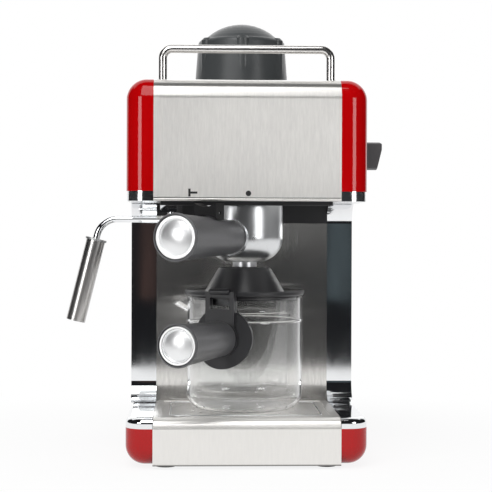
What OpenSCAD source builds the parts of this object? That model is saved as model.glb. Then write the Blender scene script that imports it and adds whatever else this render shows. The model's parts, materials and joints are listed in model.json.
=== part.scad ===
// Steam espresso machine with a glass carafe, portafilter, steam wand and cup rail.
// Millimetres, +Z up. The origin is the middle of the base's footprint at table level.
// -Y is the front, +X is the side with the selector knob.

/* [Body] */
// Width of the steel band between the side cheeks
band_w = 133; // [128:1:138]
// Width of a side cheek
cheek_w = 19.5; // [18:0.5:24]
// Depth of the base
base_d = 222; // [214:1:236]
// Height of the base above its feet
base_h = 33.6; // [31:0.2:38]
// Height of the chrome rim round the top of the base
rim_h = 7.5; // [6.5:0.5:9]
// Depth of the drip deck in front of the column
deck_d = 114; // [110:1:118]
// Clear height between the deck and the head
bay_h = 153; // [151:0.5:158]
// Height of the head
head_h = 86.9; // [82:0.1:96]
// Distance from the base's front back to the head's front
head_inset = 5; // [4:0.5:10]
// Distance from the base's back forward to the head's back
back_inset = 3; // [1:0.5:6]
// Outer corner and edge radius of the cheeks
edge_r = 14.5; // [11:0.5:17]
// Radius of the chrome rim's upper edge
rim_edge_r = 4; // [2:0.5:5]
// Height of the chrome trim under the head cheeks
trim_h = 7; // [5:0.5:9]
// Radius of the hollow sweeps at the top and foot of the column
sweep_r = 15; // [10:0.5:18]
// Height of the black lintel under the head
lintel_h = 14.9; // [10:0.1:18]
// Thickness of the steel sheets
sheet = 1.2; // [0.8:0.1:1.5]
// Wall of the plastic mouldings
wall = 2.5; // [2:0.1:3.2]

/* [Feet] */
// Height of the rubber feet
foot_h = 2.5; // [2:0.5:5]
// Diameter of the rubber feet
foot_d = 16; // [12:1:20]
// Distance from the base's edges to the centre of a foot
foot_inset = 18; // [14:1:26]

/* [Drip tray] */
// Radius of the deck's rolled front lip
lip_r = 7; // [5:0.5:7.4]
// Thickness of the deck sheet
deck_t = 1; // [0.8:0.1:1.2]
// Depth of the pressed recess in the deck
recess_depth = 0.5; // [0.3:0.1:0.6]
// Border of the deck round the recess
recess_edge = 6; // [5:0.5:9]
// Diameter of the drain holes
drain_d = 3; // [2:0.5:4]
// Wall of the drip pan
pan_wall = 1.6; // [1.2:0.1:2]

/* [Brew group] */
// Distance from the column to the brewing axis
brew_reach = 55; // [54:0.5:57]
// Outer diameter of the brew group
group_d = 80; // [78:1:84]
// Outer diameter of the portafilter bowl
bowl_d = 56.4; // [54:0.2:58]
// Wall of the portafilter bowl
bowl_t = 2.5; // [2:0.1:3]
// How far the bowl hangs below the head
bowl_drop = 43.8; // [42:0.1:44.8]
// Radius of the bowl's rounded bottom
bowl_r = 18; // [14:0.5:20]
// Reach of the bayonet ears beyond the bowl
ear_reach = 5; // [4:0.25:5.5]
// Thickness of the bayonet ears
ear_t = 4; // [3:0.25:4.5]
// Depth of the filter basket
basket_h = 27; // [22:1:30]
// Sheet thickness of the filter basket
basket_t = 0.8; // [0.6:0.1:1]
// Height of the spout under the bowl
spout_h = 3.8; // [2.5:0.1:4.2]
// Diameter of the spout
spout_d = 18; // [16:0.5:20]

/* [Portafilter handle] */
// Angle of the portafilter handle to the left of straight ahead
filter_turn = 24.5; // [20:0.5:26]
// Distance from the brewing axis to the handle's end
filter_reach = 122; // [116:1:130]
// Diameter of the handle at its end
filter_grip_d = 33; // [30:0.5:34]
// Diameter of the handle at its root
filter_root_d = 25; // [22:0.5:27]
// Depth of the handle's axis below the head
filter_grip_drop = 25.6; // [24:0.1:27]

/* [Carafe] */
// Outer diameter of the glass
glass_d = 85.7; // [82:0.1:87]
// Wall of the glass
glass_t = 2; // [1.6:0.1:2.4]
// Height of the glass
glass_h = 82.8; // [78:0.2:84]
// Outer radius of the glass at its foot
glass_foot_r = 12; // [8:0.5:16]
// Reach of the pouring lip beyond the glass
pour_reach = 10.5; // [7:0.5:12]
// Angle of the carafe handle to the left of straight ahead
carafe_turn = 24; // [20:0.5:26]
// Distance from the carafe's axis to the handle's end
carafe_reach = 121; // [114:1:128]
// Diameter of the carafe handle at its end
carafe_grip_d = 30; // [27:0.5:32]
// Diameter of the carafe handle at its root
carafe_root_d = 25; // [22:0.5:27]
// Height of the carafe handle's axis above the deck
carafe_grip_h = 54.9; // [50:0.1:57]
// Diameter of the shield between the handle and the glass
shield_d = 44; // [40:0.5:48]
// Width of the bracket that hooks over the rim
hook_w = 22; // [19:0.5:24]

/* [Carafe lid] */
// Diameter of the lid's flange
lid_d = 88.6; // [88.4:0.1:91]
// Thickness of the lid's flange
lid_t = 3.8; // [3:0.1:4.4]
// Diameter of the lid's cone at its foot
cone_foot_d = 57; // [54:0.5:60]
// Diameter of the lid's cone at its mouth
cone_top_d = 39.5; // [38:0.5:42]
// Wall of the lid
lid_wall = 1.8; // [1.4:0.1:2.2]

/* [Filler cap] */
// Distance from the column's front to the filler axis
filler_reach = 29; // [27:0.5:33]
// Diameter of the cap at its foot
cap_d = 74.5; // [72:0.5:78]
// Diameter of the cap at its shoulder
cap_top_d = 69; // [66:0.5:71]
// Height of the cap
cap_h = 53.8; // [50:0.1:58]
// Height of the domed top
dome_h = 12.6; // [10:0.1:14]
// Diameter of the domed top
dome_d = 59; // [54:0.5:62]
// Number of grip ribs
rib_count = 6; // [4:1:8]

/* [Boiler] */
// Outer diameter of the boiler
boiler_d = 80; // [76:1:84]
// Height of the boiler's drum
boiler_h = 58; // [52:1:60]
// Wall of the boiler
boiler_t = 3; // [2.5:0.1:4]
// Outer diameter of the boiler's neck
neck_d = 46; // [42:0.5:48]
// Wall of the neck
neck_t = 3.5; // [3:0.1:4]

/* [Cup rail] */
// Diameter of the rail's tube
rail_d = 6; // [5:0.5:7]
// Distance from the steel band's side edges to the rail
rail_margin = 3; // [2.5:0.5:6]
// Height of the rail above the head
rail_h = 25.8; // [20:0.2:34]
// Distance from the head's front to the rail
rail_inset = 22; // [18:1:26]

/* [Selector knob] */
// Height of the knob's axis above the head's underside
knob_h = 36.9; // [34:0.1:42]
// Distance in front of the column to the knob's and the wand's axes
valve_reach = 18; // [17:0.5:20]
// Diameter of the knob's grip
knob_d = 21.4; // [19:0.2:24]
// Diameter of the knob's skirt
skirt_d = 36; // [32:1:40]
// Reach of the knob beyond the cheek
knob_reach = 20.5; // [18:0.5:25]
// Diameter of the knob's shaft
shaft_d = 8; // [6:0.5:9]

/* [Steam wand] */
// Diameter of the wand's tube
wand_d = 5.4; // [5:0.1:6]
// Distance from the steel band's side edge to the wand's swivel
swivel_edge = 11.5; // [9:0.5:14]
// Depth of the wand's level part below the head
wand_drop = 12.1; // [11:0.1:14]
// Length of the wand's level part
wand_level = 41; // [38:0.5:48]
// Bend radius of the wand
wand_bend_r = 16; // [12:0.5:20]
// Lean of the wand's lower part from upright
wand_lean = 14; // [8:0.5:20]
// Diameter of the frother sleeve
sleeve_d = 14.5; // [13:0.25:16]
// Length of the frother sleeve
sleeve_h = 63; // [55:1:66]

/* [Fits] */
// Gap between pieces that slide or turn past each other
gap = 0.3; // [0.2:0.05:0.35]
// Radial clearance of a shaft in its bore
run = 0.06; // [0.03:0.01:0.09]

/* [Hidden] */
$fn = 48;
eps = 1;

// Levels
deck_z = foot_h + base_h;
rim_z = deck_z - rim_h;
head_z = deck_z + bay_h;
top_z = head_z + head_h;
plate_t = 2.2;
floor_z = head_z + plate_t;
floor_t = 3;
floor_top = floor_z + floor_t;
lintel_proud = 1.2;

// Fronts, backs and sides
half_band = band_w / 2;
half_w = half_band + cheek_w;
base_front = -base_d / 2;
base_back = base_d / 2;
head_front = base_front + head_inset;
head_back = base_back - back_inset;
column_y = base_front + deck_d;
brew_y = column_y - brew_reach;
filler_y = column_y + filler_reach;
valve_y = column_y - valve_reach;
knob_z = head_z + knob_h;

// Brew group and portafilter
bowl_bottom = head_z - bowl_drop;
ledge_t = 2.8;
ear_z = floor_z + ledge_t + gap;
bowl_top = floor_z + 8.2;
gasket_z = bowl_top + basket_t + gap;
gasket_t = 4.5;
group_top = gasket_z + gasket_t + 6;
spout_z = bowl_bottom - spout_h;
ear_angle = 36;
insert_back = 12;
filter_z = head_z - filter_grip_drop;
root_gap = 0.8;

// Clip on the portafilter handle
clip_r = 66;
clip_l = 14;
clip_w = 17;
clip_pin_d = 2.5;
clip_top = head_z - 1.6;
clip_pin_z = clip_top - 6.9;
lug_w = 5.4;
lug_d = 5;

// Carafe
glass_z = deck_z + gap;
rim_top = glass_z + glass_h;
hook_t = 1.2;
lid_z = rim_top + hook_t + gap;
lid_top = spout_z - 0.8;
skirt_h = 3;
carafe_z = deck_z + carafe_grip_h;
bead = 0.4;
lip_drop = 5.3;
shield_t = 2.4;
leg_t = 4.5;
bracket_r = glass_d / 2 + bead + 0.1;

// Filler cap
neck_top = top_z + 8;
cap_z = top_z + 3;
collar_t = 2.5;
plug_flange_t = 3;
stem_d = 16;
cap_top = cap_z + cap_h;

// Cup rail
rail_w = band_w - 2 * rail_margin;

// Boiler
boiler_z = floor_top + 7;
boiler_top = boiler_z + boiler_h;
pipe_d = 6;
boss_d = 11;
boss_reach = 3;
feed_x = half_band - 13;
brew_pipe_z = boiler_top - 12;
pipe_bend_r = 8;

// Knob and its shaft
shaft_grip = 10;
knob_face = 5;

// Wand
swivel_x = half_band - swivel_edge;
swivel_bend_r = 5;
wand_z = head_z - wand_drop;
fitting_top = floor_top + 7;
sleeve_start = 4.6;
tip_inside = 44;

// ---------- Shapes used by several pieces ----------

// Points on a circular arc from angle a0 to a1.
function arc(cx, cy, r, a0, a1, n = 10) =
  [for (i = [0:n]) let(a = a0 + (a1 - a0) * i / n) [cx + r * cos(a), cy + r * sin(a)]];

// Cuts the outer upper corner of a profile to radius r, with that corner at [x, y].
module corner_cut(x, y, r, up = true) {
  translate([x, y]) scale([1, up ? 1 : -1]) difference() {
    translate([-r, -r]) square(r + eps);
    translate([-r, -r]) circle(r);
  }
}

// The same cut for a profile's front corner, on its -Y side.
module front_corner_cut(y, z, r) {
  translate([y, z]) mirror([1, 0]) corner_cut(0, 0, r);
}

// Section of a side cheek: r wide, z0 to z1 high, with its outer edges rounded.
module cheek_section(r, z0, z1, top_r, bottom_r) {
  difference() {
    translate([0, z0]) square([r, z1 - z0]);
    if (top_r > 0) corner_cut(r, z1, top_r);
    if (bottom_r > 0) corner_cut(r, z0, bottom_r, false);
  }
}

// Right-hand cheek as a solid block, inset from its outer faces, with its section swept
// round the two outer corners.
module cheek_block(y0, y1, z0, z1, inset = 0, top_r = 0, bottom_r = 0, inner = half_band) {
  r = edge_r - inset;
  xc = half_w - edge_r;
  ya = y0 + edge_r;
  yb = y1 - edge_r;
  translate([xc, yb, 0]) rotate([90, 0, 0]) linear_extrude(yb - ya)
    cheek_section(r, z0, z1, top_r, bottom_r);
  translate([xc, ya, 0]) rotate([0, 0, -90]) rotate_extrude(angle = 90)
    cheek_section(r, z0, z1, top_r, bottom_r);
  translate([xc, yb, 0]) rotate_extrude(angle = 90)
    cheek_section(r, z0, z1, top_r, bottom_r);
  translate([xc, ya, 0]) rotate([90, 0, -90]) linear_extrude(xc - inner)
    cheek_section(r, z0, z1, top_r, bottom_r);
  translate([inner, yb, 0]) rotate([90, 0, 90]) linear_extrude(xc - inner)
    cheek_section(r, z0, z1, top_r, bottom_r);
  translate([inner, ya, z0]) cube([xc - inner, yb - ya, z1 - z0]);
}

// Draws the right-hand piece, or its mirror image for the left.
module on_side(side) {
  mirror([side < 0 ? 1 : 0, 0, 0]) children();
}

// Extrudes a profile drawn in Y and Z along X, centred.
module along_x(w) {
  translate([-w / 2, 0, 0]) rotate([90, 0, 90]) linear_extrude(w) children();
}

// A rod between two points on a line parallel to X.
module rod_x(x0, x1, y, z, d) {
  translate([x0, y, z]) rotate([0, 90, 0]) cylinder(h = x1 - x0, d = d);
}

// Places a handle: local +X runs outward from the brewing axis at height z.
module handle_frame(turn, z) {
  translate([0, brew_y, z]) rotate([0, 0, -90 - turn]) children();
}

// A turned handle grip along local +X from r0 to r1, with a recess for its end cap.
module grip(r0, r1, d0, d1, recess_d, recess) {
  edge = 1.2;
  rotate([0, 90, 0]) rotate_extrude() difference() {
    polygon(concat(
      [[0, r0], [d0 / 2, r0]],
      [[d1 / 2 - edge / 2, r1 - 3]],
      arc(d1 / 2 - edge, r1 - edge, edge, 0, 90, 5),
      [[0, r1]]));
    translate([-eps, r1 - recess]) square([recess_d / 2 + eps, recess + eps]);
  }
}

// The silver end cap of a grip: a raised ring round a low dome.
module end_cap(r1, d, recess) {
  ring = d / 10;
  dome_r = d / 2 - ring;
  rise = dome_r / 4.5;
  ball = (dome_r * dome_r + rise * rise) / (2 * rise);
  rotate([0, 90, 0]) rotate_extrude() {
    translate([0, r1 - recess]) square([d / 2, recess * 0.8]);
    intersection() {
      translate([0, r1 - recess * 0.2 + rise - ball - 0.2]) circle(ball, $fn = 200);
      translate([0, r1 - recess * 0.5]) square([dome_r, rise * 2]);
    }
    translate([dome_r + ring * 0.25, r1 - recess * 0.5]) square([ring * 0.5, recess * 0.6]);
  }
}

// ---------- Base ----------

module base_housing() {
  color("#26262a") difference() {
    translate([-half_band, base_front + sheet, foot_h + wall])
      cube([band_w, base_d - sheet, rim_z - foot_h - wall]);
    translate([-half_band + wall, base_front + sheet + wall, foot_h + wall - eps])
      cube([band_w - 2 * wall, base_d - sheet - 2 * wall, rim_z - foot_h - 2 * wall + eps]);
    translate([-half_band + wall, base_front + sheet + wall, foot_h + wall])
      cube([band_w - 2 * wall, deck_d - sheet - 2 * wall, base_h]);
  }
}

module base_front_plate() {
  color("#d6d4d0") translate([-half_band, base_front, foot_h])
    cube([band_w, sheet, rim_z - foot_h]);
}

module base_cheek(side) {
  color("#b5121b") on_side(side) difference() {
    cheek_block(base_front, base_back, foot_h, rim_z, 0, 0, edge_r - 1);
    cheek_block(base_front, base_back, foot_h + wall, rim_z + eps, wall, 0, edge_r - wall - 1,
      half_band - eps);
  }
}

module base_rim(side) {
  color("#e4e6e8") on_side(side) difference() {
    cheek_block(base_front, base_back, rim_z, deck_z, 0, rim_edge_r, 0);
    cheek_block(base_front, base_back, rim_z - eps, deck_z - wall, wall, 0, 0, half_band + wall);
  }
}

module bottom_plate() {
  color("#1e1e20") translate([-half_band, base_front + sheet, foot_h])
    cube([band_w, base_d - sheet, wall]);
}

module foot(x_side, y_side) {
  x = x_side * (half_band - foot_inset / 2);
  y = y_side < 0 ? base_front + foot_inset : base_back - foot_inset;
  color("#2b2b2b") translate([x, y, 0]) {
    cylinder(h = foot_h / 2, d1 = foot_d - 2, d2 = foot_d);
    translate([0, 0, foot_h / 2]) cylinder(h = foot_h / 2, d = foot_d);
  }
}

// ---------- Drip tray ----------

// Side outline of the deck, inset from its upper face and open below and behind.
module deck_profile(inset) {
  y0 = base_front + inset;
  z0 = rim_z + gap - inset;
  difference() {
    translate([y0, z0]) square([column_y - gap + inset - y0, deck_z - inset - z0]);
    front_corner_cut(y0, deck_z - inset, lip_r - inset);
  }
}

module recess_plan(grow) {
  w = band_w - 2 * recess_edge + 2 * grow;
  y0 = base_front + lip_r + recess_edge / 2 - grow;
  y1 = column_y - recess_edge / 2 + grow;
  r = 12 + grow;
  translate([-w / 2 + r, y0 + r]) circle(r);
  translate([w / 2 - r, y0 + r]) circle(r);
  translate([-w / 2 + r, y0]) square([w - 2 * r, y1 - y0]);
  translate([-w / 2, y0 + r]) square([w, y1 - y0 - r]);
}

module drip_deck() {
  w = band_w - 2 * gap;
  color("#c9c8c4") difference() {
    union() {
      difference() {
        along_x(w) deck_profile(0);
        along_x(w + eps) deck_profile(deck_t);
      }
      translate([0, 0, deck_z - recess_depth - deck_t]) linear_extrude(deck_t) recess_plan(deck_t);
    }
    translate([0, 0, deck_z - recess_depth]) linear_extrude(base_h) recess_plan(0);
    for (ring = [[glass_d / 2 - 5, 18], [glass_d / 4, 9]])
      for (i = [0:ring[1] - 1])
        translate([0, brew_y, deck_z]) rotate([0, 0, (i + 0.5) * 360 / ring[1]])
          translate([ring[0], 0, -base_h / 4]) cylinder(h = base_h, d = drain_d);
  }
}

module drip_pan() {
  x1 = half_band - wall / 2;
  y0 = base_front + lip_r + deck_t;
  y1 = column_y - gap;
  z0 = rim_z + gap;
  color("#202022") difference() {
    translate([-x1, y0, z0]) cube([2 * x1, y1 - y0, deck_z - recess_depth - deck_t - z0]);
    translate([-x1 + pan_wall, y0 + pan_wall, z0 + pan_wall])
      cube([2 * (x1 - pan_wall), y1 - y0 - 2 * pan_wall, base_h]);
  }
}

// ---------- Column ----------

module column_panel() {
  color("#a8a49e") translate([-half_band, column_y, rim_z])
    cube([band_w, sheet, head_z - lintel_h - rim_z]);
}

// Side outline of a chrome column side, with hollow sweeps towards the front.
module column_profile() {
  translate([column_y, deck_z]) square([head_back - column_y, bay_h]);
  for (end = [[deck_z, 1], [head_z, -1]])
    translate([column_y, end[0]]) scale([1, end[1]]) difference() {
      translate([-sweep_r, 0]) square([sweep_r + eps, sweep_r]);
      translate([-sweep_r, sweep_r]) circle(sweep_r);
    }
}

module column_side(side) {
  depth = half_w - half_band;
  color("#e4e6e8") on_side(side) difference() {
    translate([half_band + depth / 2, 0, 0]) along_x(depth) column_profile();
    translate([0, 0, deck_z - eps]) linear_extrude(bay_h + 2 * eps) {
      difference() {
        translate([half_band - eps, column_y + wall])
          square([depth - wall + eps, head_back - column_y - 2 * wall]);
        corner_cut(half_w - wall, head_back - wall, edge_r - wall);
      }
      corner_cut(half_w, head_back, edge_r);
    }
  }
}

module lintel() {
  color("#1c1c1e") translate([-half_band, column_y - lintel_proud, head_z - lintel_h])
    cube([band_w, 12, lintel_h]);
}

module rear_cover() {
  vents = 6;
  vent_pitch = 8;
  color("#222224") difference() {
    translate([-half_band, head_back - wall, rim_z]) cube([band_w, wall, top_z - edge_r - rim_z]);
    for (i = [0:vents - 1])
      translate([-half_band / 2, head_back - wall - eps, top_z - edge_r - 12 - i * vent_pitch])
        cube([half_band, wall + 2 * eps, 3]);
    translate([-half_band / 2, head_back - wall - eps, rim_z + 22]) rotate([-90, 0, 0])
      cylinder(h = wall + 2 * eps, d = 12);
  }
}

module cord_gland() {
  color("#1a1a1c") translate([-half_band / 2, head_back, rim_z + 22]) rotate([-90, 0, 0])
    difference() {
      union() {
        translate([0, 0, -wall - 2]) cylinder(h = wall + 2, d = 12);
        cylinder(h = 2.5, d = 17);
      }
      translate([0, 0, -wall - 2 - eps]) cylinder(h = wall + 5 + 2 * eps, d = 7.5);
    }
}

// ---------- Head ----------

// Side outline of the head, inset from its outer face, with rounded upper corners.
module head_profile(inset) {
  y0 = head_front + inset;
  y1 = head_back - inset;
  z0 = head_z + plate_t + gap - inset;
  z1 = top_z - inset;
  difference() {
    translate([y0, z0]) square([y1 - y0, z1 - z0]);
    corner_cut(y1, z1, edge_r - inset);
    front_corner_cut(y0, z1, edge_r - inset);
  }
}

// The head's sheet: front, top and the bend at the back, which ends on the rear cover.
module head_wrap() {
  color("#cfcdc9") difference() {
    along_x(band_w) difference() {
      head_profile(0);
      head_profile(sheet);
      translate([head_back - edge_r, head_z]) square([edge_r + eps, head_h - edge_r]);
    }
    translate([0, filler_y, top_z - edge_r]) cylinder(h = edge_r * 2, d = neck_d + 2);
    for (x = [-1, 1])
      translate([x * (rail_w - rail_d) / 2, head_front + rail_inset, top_z - edge_r])
        cylinder(h = edge_r * 2, d = rail_d + 0.2);
  }
}

module head_cheek(side) {
  z0 = head_z + trim_h;
  color("#b5121b") difference() {
    on_side(side) difference() {
      cheek_block(head_front, head_back, z0, top_z, 0, edge_r, 0);
      cheek_block(head_front, head_back, z0 - eps, top_z - wall, wall, edge_r - wall, 0,
        half_band - eps);
    }
    if (side > 0)
      rod_x(half_w - edge_r, half_w + eps, valve_y, knob_z, shaft_d + 2 * gap);
  }
}

module head_trim(side) {
  color("#e4e6e8") on_side(side) difference() {
    cheek_block(head_front, head_back, head_z, head_z + trim_h, 0.4);
    cheek_block(head_front, head_back, head_z + wall, head_z + trim_h + eps, wall + 0.4, 0, 0,
      half_band - eps);
  }
}

// Steel plate under the head, with a round front edge below the wrap.
module under_plate() {
  color("#c4c2be") difference() {
    along_x(band_w) {
      translate([head_front + plate_t / 2, head_z])
        square([column_y - lintel_proud - head_front - plate_t / 2, plate_t]);
      translate([head_front + plate_t / 2, head_z + plate_t / 2]) circle(d = plate_t);
    }
    translate([0, brew_y, head_z - eps]) cylinder(h = plate_t + 2 * eps, d = group_d - 6);
    translate([-swivel_x, valve_y, head_z - eps]) cylinder(h = plate_t + 2 * eps, d = 12.4);
  }
}

module head_floor() {
  y0 = head_front + sheet;
  y1 = head_back - wall;
  color("#1e1e20") difference() {
    translate([-half_band, y0, floor_z]) cube([band_w, y1 - y0, floor_t]);
    translate([0, brew_y, floor_z - eps]) cylinder(h = floor_t + 2 * eps, d = group_d + 0.4);
    translate([-swivel_x, valve_y, floor_z - eps]) cylinder(h = floor_t + 2 * eps, d = 12.4);
  }
  color("#1e1e20") for (i = [0:2])
    translate([0, filler_y, floor_top]) rotate([0, 0, 90 + i * 120]) translate([boiler_d / 2 - 7, 0, 0])
      cylinder(h = boiler_z - floor_top, d = 9);
}

// ---------- Cup rail ----------

module cup_rail() {
  x = (rail_w - rail_d) / 2;
  y = head_front + rail_inset;
  r = rail_d * 1.1;
  foot = top_z - sheet - 6;
  bar_z = top_z + rail_h - rail_d / 2;
  color("#dcdee0") {
    rod_x(-x + r, x - r, y, bar_z, rail_d);
    for (side = [-1, 1]) {
      translate([side * x, y, foot]) cylinder(h = bar_z - r - foot, d = rail_d);
      translate([side * (x - r), y, bar_z - r]) rotate([90, 0, 0])
        rotate([0, 0, side > 0 ? 0 : 90]) rotate_extrude(angle = 90) translate([r, 0]) circle(d = rail_d);
    }
  }
}

module rail_nut(side) {
  color("#b8babc") translate([side * (rail_w - rail_d) / 2, head_front + rail_inset, top_z - sheet - 4])
    difference() {
      cylinder(h = 4, d = rail_d * 1.75, $fn = 6);
      translate([0, 0, -eps]) cylinder(h = 4 + 2 * eps, d = rail_d);
    }
}

// ---------- Boiler ----------

module boiler() {
  r = boiler_d / 2;
  inner = r - boiler_t;
  dome = 10;
  color("#b9bbbd") {
    translate([0, filler_y, 0]) rotate_extrude() difference() {
      union() {
        translate([0, boiler_z]) square([r, boiler_h - dome]);
        polygon([[0, boiler_top - dome], [r, boiler_top - dome], [neck_d / 2 + 2, boiler_top],
          [0, boiler_top]]);
        translate([0, boiler_top - dome]) square([neck_d / 2, neck_top - boiler_top + dome]);
      }
      translate([-eps, boiler_z + boiler_t]) square([inner + eps, boiler_h - dome - boiler_t]);
      polygon([[-eps, boiler_top - dome - 0.01], [inner, boiler_top - dome - 0.01],
        [neck_d / 2 - neck_t, boiler_top - boiler_t], [-eps, boiler_top - boiler_t]]);
      translate([-eps, boiler_top - dome]) square([neck_d / 2 - neck_t + eps, head_h]);
    }
    translate([0, filler_y - r + 1, brew_pipe_z]) rotate([90, 0, 0])
      cylinder(h = boss_reach + 1, d = boss_d);
  }
}

module filler_collar() {
  color("#202022") translate([0, filler_y, top_z]) difference() {
    cylinder(h = collar_t, d = cap_d - 4);
    translate([0, 0, -eps]) cylinder(h = collar_t + 2 * eps, d = neck_d + 1);
  }
}

module heating_element() {
  t = 6;
  ring_r = boiler_d / 2 - 18;
  color("#8a8c8e") translate([0, filler_y, boiler_z - t]) {
    rotate_extrude() translate([ring_r - t / 2, 0]) square([t, t]);
    for (x = [-1, 1])
      rotate([0, 0, 30]) translate([ring_r, x * 6 - 3, 0]) cube([12, 6, 1.6]);
  }
}

// ---------- Brew group ----------

module sector(r, a0, a1, h) {
  rotate([0, 0, a0]) rotate_extrude(angle = a1 - a0) square([r, h]);
}

module brew_group() {
  handle_angle = -90 - filter_turn;
  slot = ear_angle + 6;
  inner = bowl_d / 2 + 2;
  z0 = floor_z;
  color("#9c9ea0") translate([0, brew_y, 0]) difference() {
    union() {
      translate([0, 0, z0]) cylinder(h = group_top - z0, d = group_d);
      translate([0, 0, floor_top]) cylinder(h = 3, d = group_d + 9);
    }
    translate([0, 0, z0 - eps]) cylinder(h = ledge_t + 2 * eps, r = inner);
    translate([0, 0, z0 + ledge_t]) cylinder(h = ear_t + 2 * gap, r = bowl_d / 2 + ear_reach + gap);
    translate([0, 0, z0 + ledge_t]) cylinder(h = gasket_z + gasket_t - z0 - ledge_t, r = inner - 0.6);
    for (side = [-1, 1])
      translate([0, 0, z0 - eps])
        sector(bowl_d / 2 + ear_reach + 1, handle_angle - insert_back + side * 90 - slot / 2,
          handle_angle - insert_back + side * 90 + slot / 2, ledge_t + 2 * eps);
    cylinder(h = group_top + eps, d = pipe_d - 1);
  }
}

module group_gasket() {
  color("#7c3b2e") translate([0, brew_y, gasket_z]) difference() {
    cylinder(h = gasket_t, r = bowl_d / 2 + 1.2);
    translate([0, 0, -eps]) cylinder(h = gasket_t + 2 * eps, r = bowl_d / 2 - 5);
  }
}

module shower_screen() {
  r = bowl_d / 2 - 5.3;
  color("#c8cacc") translate([0, brew_y, gasket_z]) difference() {
    union() {
      translate([0, 0, 0.6]) cylinder(h = 1.2, r = r);
      translate([0, 0, 0.6]) difference() {
        cylinder(h = gasket_t - 0.6, r = r);
        cylinder(h = gasket_t, r = r - 1.2);
      }
    }
    for (ring = [[6, 6], [12, 12]])
      for (i = [0:ring[1] - 1])
        rotate([0, 0, i * 360 / ring[1]]) translate([ring[0], 0, 0]) cylinder(h = 3, d = 1.6);
  }
}

module brew_pipe() {
  y1 = filler_y - boiler_d / 2 - boss_reach;
  r = pipe_bend_r;
  color("#b97b4a") {
    translate([0, y1, brew_pipe_z]) rotate([90, 0, 0]) cylinder(h = y1 - brew_y - r, d = pipe_d);
    translate([0, brew_y + r, brew_pipe_z - r]) rotate([90, 0, 90]) rotate([0, 0, 90])
      rotate_extrude(angle = 90) translate([r, 0]) circle(d = pipe_d);
    translate([0, brew_y, group_top]) cylinder(h = brew_pipe_z - r - group_top, d = pipe_d);
  }
}

module steam_valve() {
  body_d = 2 * shaft_d + 2;
  post_w = 1.5 * shaft_d;
  x0 = feed_x - pipe_d;
  x1 = half_band + 3;
  color("#b08d4f") difference() {
    union() {
      rod_x(x0, x1, valve_y, knob_z, body_d);
      translate([x0, valve_y - post_w / 2, floor_top])
        cube([x1 - x0 - shaft_d / 2, post_w, knob_z - floor_top]);
    }
    rod_x(x1 - shaft_grip - 4, x1 + eps, valve_y, knob_z, shaft_d + 2 * run);
  }
}

module steam_pipe() {
  x0 = -swivel_x;
  x1 = feed_x - pipe_d;
  r = pipe_bend_r;
  color("#b97b4a") {
    rod_x(x0 + r, x1, valve_y, knob_z, pipe_d);
    translate([x0 + r, valve_y, knob_z - r]) rotate([90, 0, 0]) rotate([0, 0, 90])
      rotate_extrude(angle = 90) translate([r, 0]) circle(d = pipe_d);
    translate([x0, valve_y, fitting_top]) cylinder(h = knob_z - r - fitting_top, d = pipe_d);
  }
}

// ---------- Selector knob ----------

// A round skirt with a finger bar across it, whose face slopes back over its lower half.
module selector_knob() {
  skirt_t = 7;
  bevel = 2;
  bar_t = shaft_d + 3;
  slope = 3.8;
  slope_start = knob_d * 0.22;
  corner = 1.5;
  h = knob_reach - gap;
  color("#3a3a3d") translate([half_w + gap, valve_y, knob_z]) rotate([0, 90, 0]) difference() {
    union() {
      cylinder(h = skirt_t - bevel, d = skirt_d);
      translate([0, 0, skirt_t - bevel])
        cylinder(h = bevel, d1 = skirt_d, d2 = skirt_d - 1.5 * bevel);
      intersection() {
        cylinder(h = h, d = knob_d);
        translate([-knob_d, -bar_t / 2, 0]) cube([2 * knob_d, bar_t, h]);
      }
    }
    translate([-slope_start, 0, h]) rotate([0, atan(slope / (knob_d / 2 + slope_start)), 0])
      translate([0, -knob_d, 0]) cube([knob_d * 2, knob_d * 2, knob_d]);
    translate([corner - knob_d / 2, 0, h]) rotate([0, -45, 0])
      translate([-knob_d, -knob_d, 0]) cube([knob_d, knob_d * 2, knob_d]);
    translate([0, 0, -eps]) cylinder(h = h - knob_face + eps, d = shaft_d);
  }
}

module knob_shaft() {
  x1 = half_w + knob_reach - knob_face - 1;
  color("#9a9c9e") rod_x(half_band - shaft_grip, x1, valve_y, knob_z, shaft_d);
}

// ---------- Steam wand ----------

// Local frame of the wand: origin at table level under the swivel, +X outward.
module wand_frame() {
  translate([-swivel_x, valve_y, 0]) rotate([0, 0, 180]) children();
}

// Local frame at the end of the wand's bend, +Z down along the tube.
module wand_tip_frame() {
  wand_frame() translate([wand_level + wand_bend_r * cos(wand_lean), 0,
    wand_z - wand_bend_r + wand_bend_r * sin(wand_lean)]) rotate([0, 180 - wand_lean, 0]) children();
}

module wand_fitting() {
  bottom = wand_z + swivel_bend_r + 0.4;
  color("#c9cbcd") wand_frame() difference() {
    union() {
      translate([0, 0, bottom]) cylinder(h = head_z - bottom, d = 17, $fn = 6);
      translate([0, 0, head_z - 0.01]) cylinder(h = fitting_top - head_z + 0.01, d = 12.2);
      translate([0, 0, floor_top]) cylinder(h = 3, d = 16);
    }
    translate([0, 0, bottom - eps]) cylinder(h = fitting_top - bottom - 2 + eps, d = wand_d + 2 * run);
  }
}

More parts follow.
